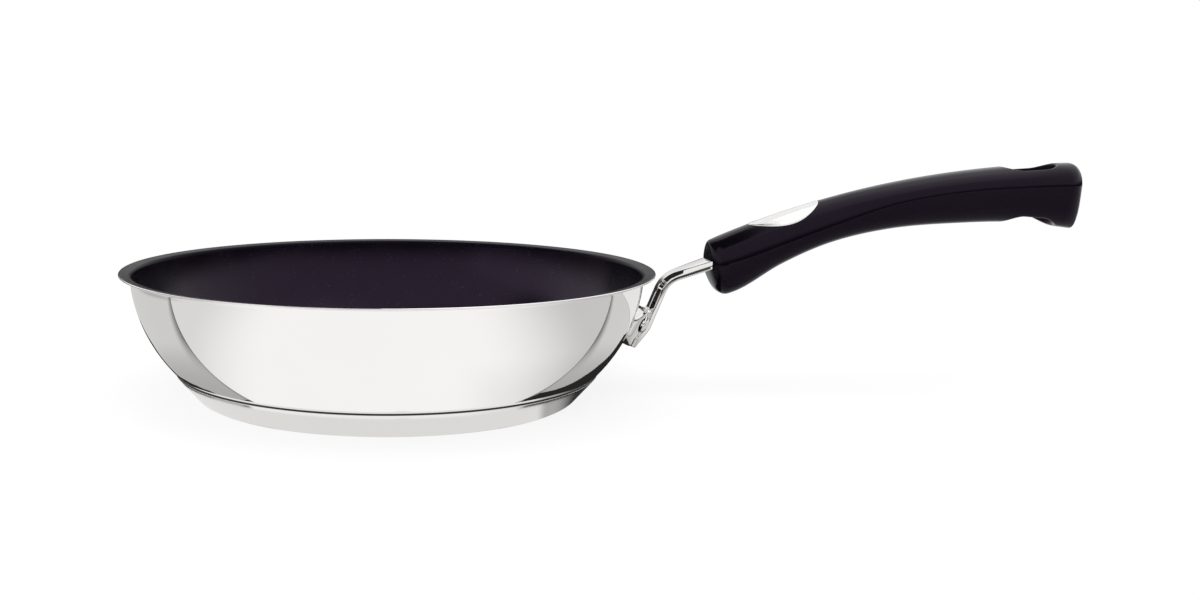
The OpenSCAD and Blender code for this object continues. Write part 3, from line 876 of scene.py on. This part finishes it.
def noise(tree, vector, scale, detail):
    node = add_node(tree, "TexNoise", {"Scale": scale, "Detail": detail, "Vector": vector})
    return node.outputs["Fac"]


def ramp(tree, factor, low, high, from_value=0.0, to_value=1.0):
    """A smooth step of the factor between two values."""
    limits = {"From Min": low, "From Max": high, "To Min": from_value, "To Max": to_value}
    node = add_node(tree, "MapRange", {"Value": factor, **limits})
    node.interpolation_type = "SMOOTHSTEP"
    return node.outputs["Result"]


def mix(tree, kind, factor, a, b):
    node = add_node(tree, "Mix")
    node.data_type = kind
    for value, name in ((factor, "Factor"), (a, "A"), (b, "B")):
        feed(tree, value, node.inputs[name])
    return node.outputs["Result"]


def mix_value(tree, factor, a, b):
    """The value a where the factor is 0, and b where it is 1."""
    return mix(tree, "FLOAT", factor, a, b)


def mix_colour(tree, factor, a, b):
    return mix(tree, "RGBA", factor, a, b)


def bump(tree, height, strength, distance, shader=None, normal=None):
    node = add_node(tree, "Bump", {"Strength": strength, "Distance": distance, "Height": height})
    if normal is not None:
        tree.links.new(normal, node.inputs["Normal"])
    if shader is not None:
        tree.links.new(node.outputs["Normal"], shader.inputs["Normal"])
    return node.outputs["Normal"]


def object_point(tree):
    return add_node(tree, "TexCoord").outputs["Object"]


def components(tree, vector):
    return tuple(add_node(tree, "SeparateXYZ", {0: vector}).outputs)


def polar(tree, point):
    """Distance from the Z axis, the angle round it, and the height."""
    x, y, z = components(tree, point)
    square = math_node(tree, "ADD", product(tree, x, x), product(tree, y, y))
    return math_node(tree, "SQRT", square), math_node(tree, "ARCTAN2", y, x), z


def turned_vector(tree, point, across, around):
    """Coordinates whose detail runs in fine rings round the Z axis."""
    radius, angle, z = polar(tree, point)
    scaled = ((radius, across), (angle, around), (z, across))
    parts = {i: product(tree, value, scale) for i, (value, scale) in enumerate(scaled)}
    return add_node(tree, "CombineXYZ", parts).outputs[0]


def straight_vector(tree, point, along, across):
    """Coordinates whose detail runs in fine straight lines, side by side along Y."""
    node = add_node(tree, "VectorMath", {0: point})
    node.operation = "MULTIPLY"
    node.inputs[1].default_value = (along, across, along)
    return node.outputs[0]


SEAM_TONE = (0.060, 0.056, 0.054)


def steel(name, colour, rough_low, rough_high, lines, turned=False, seam=None, inside=None):
    """Polished steel with faint polishing lines. Asked for, it has a dull seam above a height,
    or painted shade: a dark and duller side where it faces the pan."""
    material, tree, shader, point = new_material(name, METAL)
    cloud = noise(tree, point, 26.0, 2.0)
    if turned:
        vector = turned_vector(tree, point, 2600.0, 3.0)
    else:
        vector = straight_vector(tree, point, 900.0, 5200.0)
    line = noise(tree, vector, 1.0, 2.0)
    darker = tuple(c * 0.97 for c in colour)
    tone = mix_colour(tree, cloud, darker, colour)
    gloss = math_node(tree, "MULTIPLY_ADD", cloud, 0.4, product(tree, line, 0.6))
    rough = ramp(tree, gloss, 0.25, 0.75, rough_low, rough_high)
    if seam:
        dull = ramp(tree, polar(tree, point)[2], *seam)
        tone = mix_colour(tree, dull, tone, SEAM_TONE)
        rough = mix_value(tree, dull, rough, 0.50)
    # painted shade: the side that faces the pan is darkened and dulled
    if inside:
        facing = components(tree, add_node(tree, "TexCoord").outputs["Normal"])
        inner = ramp(tree, facing[0], -0.80, -0.66, 1.0, 0.0)
        level = math_node(tree, "ABSOLUTE", facing[1])
        painted_shade = product(tree, inner, ramp(tree, level, 0.12, 0.30, 1.0, 0.0))
        tone = mix_colour(tree, painted_shade, tone, inside)
        rough = mix_value(tree, painted_shade, rough, 0.32)
    paint(tree, shader, tone, rough)
    bump(tree, line, lines, 0.00002, shader)
    return material


def coating(name, specular):
    """Dark non-stick coating: satin, faintly mottled, with a fine pale speckle."""
    material, tree, shader, point = new_material(name, dark_plastic(specular))
    speck = add_node(tree, "TexVoronoi", {"Scale": 640.0, "Randomness": 1.0, "Vector": point})
    pick = ramp(tree, speck.outputs["Distance"], 0.10, 0.26, 1.0, 0.0)
    sparse = ramp(tree, noise(tree, point, 190.0, 2.0), 0.50, 0.66)
    fleck = product(tree, pick, sparse)
    cloud = noise(tree, point, 55.0, 4.0)
    ground = mix_colour(tree, cloud, (0.0024, 0.0014, 0.0036), (0.0046, 0.0028, 0.0064))
    colour = mix_colour(tree, fleck, ground, (0.034, 0.028, 0.040))
    paint(tree, shader, colour, ramp(tree, cloud, 0.3, 0.7, 0.20, 0.27))
    bump(tree, noise(tree, point, 900.0, 3.0), 0.35, 0.00006, shader)
    return material


def phenolic():
    """Moulded phenolic resin: near-black with a violet cast, a fine satin grain and rubbed spots."""
    material, tree, shader, point = new_material("moulded_phenolic", dark_plastic(0.18))
    cloud = noise(tree, point, 34.0, 3.0)
    colour = mix_colour(tree, cloud, (0.0014, 0.0009, 0.0020), (0.0028, 0.0018, 0.0038))
    paint(tree, shader, colour, ramp(tree, cloud, 0.3, 0.7, 0.15, 0.20))
    grain = bump(tree, noise(tree, point, 1500.0, 2.0), 0.22, 0.00004)
    bump(tree, noise(tree, point, 30.0, 1.0), 0.10, 0.0008, shader, grain)
    return material


def brass():
    material, tree, shader, point = new_material("insert_brass", METAL)
    cloud = noise(tree, point, 240.0, 3.0)
    colour = mix_colour(tree, cloud, (0.62, 0.44, 0.16), (0.80, 0.62, 0.28))
    paint(tree, shader, colour, ramp(tree, cloud, 0.2, 0.8, 0.22, 0.38))
    return material


def aluminium():
    material, tree, shader, point = new_material("core_aluminium", METAL)
    line = noise(tree, turned_vector(tree, point, 1600.0, 4.0), 1.0, 3.0)
    colour = mix_colour(tree, line, (0.66, 0.66, 0.67), (0.80, 0.80, 0.81))
    paint(tree, shader, colour, ramp(tree, line, 0.3, 0.7, 0.30, 0.45))
    bump(tree, line, 0.3, 0.00005, shader)
    return material


MIRROR = steel("mirror_steel", (0.945, 0.932, 0.918), 0.015, 0.045, 0.10, turned=True)
BAND = steel("band_steel", (0.870, 0.855, 0.835), 0.13, 0.20, 0.35, turned=True, seam=(0.01145, 0.01155))
# the bracket's steel, with painted shade on its side that faces the pan
CAST = steel("cast_steel", (0.835, 0.823, 0.806), 0.03, 0.07, 0.05, inside=(0.055, 0.050, 0.054))
HEAD = steel("rivet_steel", (0.900, 0.888, 0.870), 0.05, 0.11, 0.10)
BARE = steel("badge_satin", (0.860, 0.850, 0.840), 0.10, 0.18, 0.25)
PLATED = steel("plated_steel", (0.62, 0.62, 0.62), 0.20, 0.34, 0.20)
COATING = coating("nonstick_coating", 0.26)
# a shaded copy of the coating with less gloss: painted shade on the lip
SHADED_LIP_COATING = coating("nonstick_lip_shaded", 0.035)
PHENOLIC = phenolic()
BRASS = brass()
ALUMINIUM = aluminium()


def coat(obj, material):
    obj.data.materials.clear()
    obj.data.materials.append(material)


def dress(obj, material, slot, *nodes):
    """Gives a piece its material and its body, and hides the CAD nodes that it stands for."""
    coat(obj, material)
    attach(obj, "root")
    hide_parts(*nodes)
    return obj


dress(build_body(), MIRROR, "polished_steel", "pan_body")
lining = dress(build_lining(), COATING, "nonstick", "nonstick_lining")
# the lip's coating has less gloss, fitted to the photograph: a shaded copy of the coating that paints shade
# on the lip
lining.data.materials.append(SHADED_LIP_COATING)
for polygon in lining.data.polygons:
    if polygon.center.z > WALL_TOP[1] * MM:
        polygon.material_index = 1
dress(build_cap(), BAND, "base_steel", "base_cap")
dress(build_bracket(), CAST, "bracket_steel", "handle_bracket")
dress(build_rivets(), HEAD, "rivet_steel", "bracket_rivets")
dress(build_grip(), PHENOLIC, "phenolic", "handle_grip")
dress(build_badge(), BARE, "badge_steel", "handle_badge")

for node_name, material in {
    "base_core": ALUMINIUM,
    "handle_screw": PLATED,
    "screw_washer": PLATED,
    "threaded_insert": BRASS,
}.items():
    coat(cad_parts[node_name], material)


# Studio: a plain floor, and cards that only reflections show
def white_paths(tree):
    """1 for rays that show the background itself: camera, glossy and transmission rays."""
    path = add_node(tree, "LightPath")
    shown = math_node(tree, "MAXIMUM", path.outputs["Is Camera Ray"], path.outputs["Is Glossy Ray"])
    return math_node(tree, "MAXIMUM", shown, path.outputs["Is Transmission Ray"]), path


def floor_material():
    """Plain pale floor that takes light and shade near the pan and runs out into the white background."""
    material, tree, out = bare_material("studio_floor")
    lit = add_node(tree, "BsdfDiffuse", {"Color": (0.93, 0.93, 0.93)})
    glow = add_node(tree, "Emission")
    distance = polar(tree, object_point(tree))[0]
    shown, path = white_paths(tree)
    near_white = product(tree, ramp(tree, distance, 0.14, 0.42, 0.88, 1.0), shown)
    share = math_node(tree, "MAXIMUM", near_white, path.outputs["Is Glossy Ray"])
    blend = add_node(tree, "MixShader", {0: share, 1: lit.outputs[0], 2: glow.outputs[0]})
    tree.links.new(blend.outputs[0], out.inputs["Surface"])
    return material


def table_material():
    """A painted reflection of the table as polished steel shows it: a bright sheet, a greyer surface beyond
    its edges and painted shade near the pan. Its pattern is fitted to what the wall mirrors in the
    photograph. Lengths are in metres."""
    material, tree, strength = glowing_material("table_card")
    point = object_point(tree)
    x, y, _ = components(tree, point)
    distance = polar(tree, point)[0]
    beside = math_node(tree, "ABSOLUTE", x)
    before = product(tree, y, -1.0)
    right = ramp(tree, x, -0.01, 0.01)
    turn = math_node(tree, "ARCTAN2", beside, before)
    # the sheet, with painted shade: dimmer to both sides, and most of all to the right and close to the pan
    left_sheet = ramp(tree, turn, 0.60, 1.22, 0.97, 0.73)
    right_sheet = ramp(tree, turn, 0.45, 1.25, 0.97, 0.59)
    painted_pan_shade = product(tree, ramp(tree, distance, 0.100, 0.140, 0.09, 0.0), ramp(tree, turn, 0.30, 0.55))
    sheet = mix_value(tree, right, left_sheet, math_node(tree, "SUBTRACT", right_sheet, painted_pan_shade))
    # its slanting edges, and how far a spot lies beyond them
    slope = mix_value(tree, right, -0.262, -0.400)
    start = mix_value(tree, right, 0.0890, 0.0980)
    line = math_node(tree, "MULTIPLY_ADD", beside, slope, start)
    within = math_node(tree, "SUBTRACT", line, before)
    beyond = ramp(tree, within, -0.0004, 0.0004)
    # beyond the edges the surface is darker close to the pan: painted shade
    far_side = ramp(tree, distance, 0.094, 0.150, 0.42, 0.64)
    edge_shade = ramp(tree, within, 0.0, 0.014, 0.42, 0.0)
    edge_shade = product(tree, edge_shade, ramp(tree, distance, 0.105, 0.155))
    edge_line = ramp(tree, within, 0.0006, 0.0016, 0.18, 0.0)
    side_level = math_node(tree, "SUBTRACT", math_node(tree, "SUBTRACT", far_side, edge_shade), edge_line)
    front_share = ramp(tree, turn, 0.20, 0.60, 1.0, 0.0)
    past = mix_value(tree, front_share, side_level, 0.80)
    # behind and to the right, a lighter strip past a thin dark line
    strip = product(tree, ramp(tree, x, 0.14, 0.16), ramp(tree, y, 0.0742, 0.0750))
    past = mix_value(tree, strip, past, ramp(tree, y, 0.0755, 0.0775, 0.30, 0.82))
    level = mix_value(tree, beyond, sheet, past)
    # far off the table ends, to the left, behind and in front
    far_left = ramp(tree, x, -0.34, -0.27, 1.0, 0.0)
    far_back = product(tree, ramp(tree, y, 0.30, 0.40), ramp(tree, x, 0.33, 0.38, 1.0, 0.0))
    level = mix_value(tree, math_node(tree, "MAXIMUM", far_left, far_back), level, 0.03)
    far_front = product(tree, ramp(tree, y, -0.31, -0.28, 1.0, 0.0), ramp(tree, x, 0.14, 0.20, 1.0, 0.0))
    tree.links.new(mix_value(tree, far_front, level, 0.05), strength)
    return material


def close_material():
    """The table close to the pan, as the base band shows it: painted shadow under the handle and painted
    shade at the contact.
    """
    material, tree, strength = glowing_material("close_card")
    point = object_point(tree)
    x, y, _ = components(tree, point)
    turn = math_node(tree, "ARCTAN2", math_node(tree, "ABSOLUTE", x), math_node(tree, "ABSOLUTE", y))
    # painted shadow under the handle, on the right
    first = ramp(tree, turn, 0.79, 0.88, 0.0, 0.48)
    second = ramp(tree, turn, 0.92, 1.22, 0.0, 0.52)
    painted_handle_shadow = product(tree, math_node(tree, "ADD", first, second), ramp(tree, x, -0.01, 0.01))
    level = mix_value(tree, painted_handle_shadow, 0.81, 0.03)
    # painted contact shade close round the base
    painted_contact_shade = ramp(tree, polar(tree, point)[0], 0.0822, 0.0836, 0.30, 1.0)
    tree.links.new(product(tree, level, painted_contact_shade), strength)
    return material


def plain_glow(name, level):
    material, _, strength = glowing_material(name)
    strength.default_value = level
    return material


DARK_LEVEL = 0.02


def rising_glow(name, low, high, level):
    """A card that is dark below one height and pale above another."""
    material, tree, strength = glowing_material(name)
    height = components(tree, object_point(tree))[2]
    tree.links.new(ramp(tree, height, low, high, DARK_LEVEL, level), strength)
    return material


def stage_plane(name, corners, material):
    mesh = bpy.data.meshes.new(name)
    mesh.from_pydata(corners, [], [tuple(range(len(corners)))])
    mesh.materials.append(material)
    obj = add_object(name, mesh)
    return obj


def card(name, corners, material):
    """A card that only reflections show."""
    obj = stage_plane(name, corners, material)
    obj.visible_camera = obj.visible_diffuse = False
    obj.visible_shadow = obj.visible_transmission = False


def lying(x0, x1, y0, y1, z):
    return [(x0, y0, z), (x1, y0, z), (x1, y1, z), (x0, y1, z)]


def standing(start, end, low, high):
    return [(*start, low), (*end, low), (*end, high), (*start, high)]


def outline_at(points, lift):
    return [(x * MM, y * MM, lift) for x, y in points]


# Half widths of the floor and of the table card, and heights of the cards on it, in metres
REACH = 9.0
TABLE_REACH = 1.35
TABLE_LIFT, SHADE_LIFT, CLOSE_LIFT = 0.0002, 0.0004, 0.0006
stage_plane("floor", lying(-REACH, REACH, -REACH, REACH, 0), floor_material())
table = lying(-TABLE_REACH, TABLE_REACH, -TABLE_REACH, TABLE_REACH, TABLE_LIFT)
card("table_card", table, table_material())

# A dark card round the pan, in millimetres: a painted shadow of the pan on the table. Its outline is fitted
# to the dark crescents that the wall mirrors at both sides of the photograph. Behind the pan, which the
# photograph doesn't show, it is open.
DARK_CARD = plain_glow("dark_card", DARK_LEVEL)
SHADE_LEFT = [(-166, 150), (-153, 101), (-135.6, 52), (-124.6, 36), (-113.4, 18), (-103.4, 0), (-97.4, -20)]
SHADE_LEFT += [(-90.4, -36), (-81.8, -49.9), (-75.5, -55.4), (-62, -72.7)]
SHADE_FRONT = [(0, -74), (62.6, -72.8)]
SHADE_RIGHT = [(71.9, -68), (84.3, -53.2), (99.5, -35), (112.5, -16), (125.5, 9), (139, 30), (150, 50)]
SHADE_BEHIND = [(152, 112), (132, 112), (92, 22), (-92, 22), (-146, 150)]
card("shade_card", outline_at(SHADE_LEFT + SHADE_FRONT + SHADE_RIGHT + SHADE_BEHIND, SHADE_LIFT), DARK_CARD)

# The card under the base band's edge, in millimetres, with painted shadow under the handle and at the
# contact
CLOSE_RADIUS = 94.4
close_ring = [(CLOSE_RADIUS * cosd(a), CLOSE_RADIUS * sind(a)) for a in range(0, 360, 2)]
card("close_card", outline_at(close_ring, CLOSE_LIFT), close_material())

# Cards round the set, dark at the table's height and pale above it: from, to, top,
# the heights between which they brighten, and how bright they get
for name, start, end, top, low, high, level in (
    ("front", (-2.2, -1.5), (2.2, -1.5), 1.2, 0.13, 0.60, 1.0),
    ("left", (-1.4, -1.3), (-1.4, 1.3), 0.85, 0.05, 0.42, 1.3),
    ("right", (1.9, -1.5), (1.9, 1.6), 1.2, 0.11, 0.58, 1.1),
    ("back", (-2.2, 1.6), (2.2, 1.6), 1.2, 0.06, 0.62, 1.0),
):
    card(name + "_flag", standing(start, end, 0.0, top), rising_glow(name + "_card", low, high, level))

# Two dark cards high up on the left, and a bright one over the handle
card("left_panel", standing((-1.4, -0.1), (-1.4, 1.6), 0.85, 2.6), DARK_CARD)
card("roof_panel", lying(-1.4, -0.05, -0.9, 1.6, 2.6), DARK_CARD)
card("handle_card", lying(0.10, 0.95, -0.65, 0.75, 1.5), plain_glow("handle_light", 1.5))

SKY_LIGHT, SKY_SHOWN = 0.48, 1.0
world = bpy.data.worlds.new("studio")
bpy.context.scene.world = world
world.use_nodes = True
sky_tree = world.node_tree
sky_tree.nodes.clear()
sky_strength = ramp(sky_tree, white_paths(sky_tree)[0], 0.0, 1.0, SKY_LIGHT, SKY_SHOWN)
sky = add_node(sky_tree, "Background", {"Color": (1.0, 1.0, 1.0), "Strength": sky_strength})
add_node(sky_tree, "OutputWorld", {"Surface": sky.outputs[0]})


def softbox(name, spot, target, width, height, power):
    """An area light, in metres and watts, that reflections don't show."""
    light = bpy.data.lights.new(name, "AREA")
    light.shape = "RECTANGLE"
    light.size = width
    light.size_y = height
    light.energy = power
    obj = add_object(name, light)
    obj.location = spot
    obj.rotation_euler = (Vector(target) - Vector(spot)).to_track_quat("-Z", "Y").to_euler()
    obj.visible_glossy = False


softbox("overhead_box", (0.05, -0.15, 1.25), (0.08, 0.0, 0.05), 1.5, 0.9, 17.0)
softbox("side_box", (-1.2, -0.5, 0.9), (0.05, 0, 0.05), 0.7, 0.7, 4.0)

# Camera, as fitted to the photograph
PITCH = math.radians(7.25)
DISTANCE = 0.550
SENSOR_WIDTH = 36.0
FOCAL_PIXELS = 1204.5
IMAGE_WIDTH, IMAGE_HEIGHT = 1200.0, 600.0
# where the photograph has the middle of the lip's plane
AXIS_PIXEL = (386.8, 266.3)
camera_data = bpy.data.cameras.new("photo_camera")
camera_data.sensor_width = SENSOR_WIDTH
camera_data.lens = SENSOR_WIDTH * FOCAL_PIXELS / IMAGE_WIDTH
camera_data.shift_x = (IMAGE_WIDTH / 2 - AXIS_PIXEL[0]) / IMAGE_WIDTH
camera_data.shift_y = -(IMAGE_HEIGHT / 2 - AXIS_PIXEL[1]) / IMAGE_WIDTH
camera_data.clip_start = 0.01
camera_data.clip_end = 60.0
camera = add_object("photo_camera", camera_data)
camera.location = (0, -DISTANCE * math.cos(PITCH), PAN_HEIGHT * MM + DISTANCE * math.sin(PITCH))
camera.rotation_euler = (math.pi / 2 - PITCH, 0, 0)
bpy.context.scene.camera = camera

bpy.context.scene.view_settings.view_transform = "Standard"
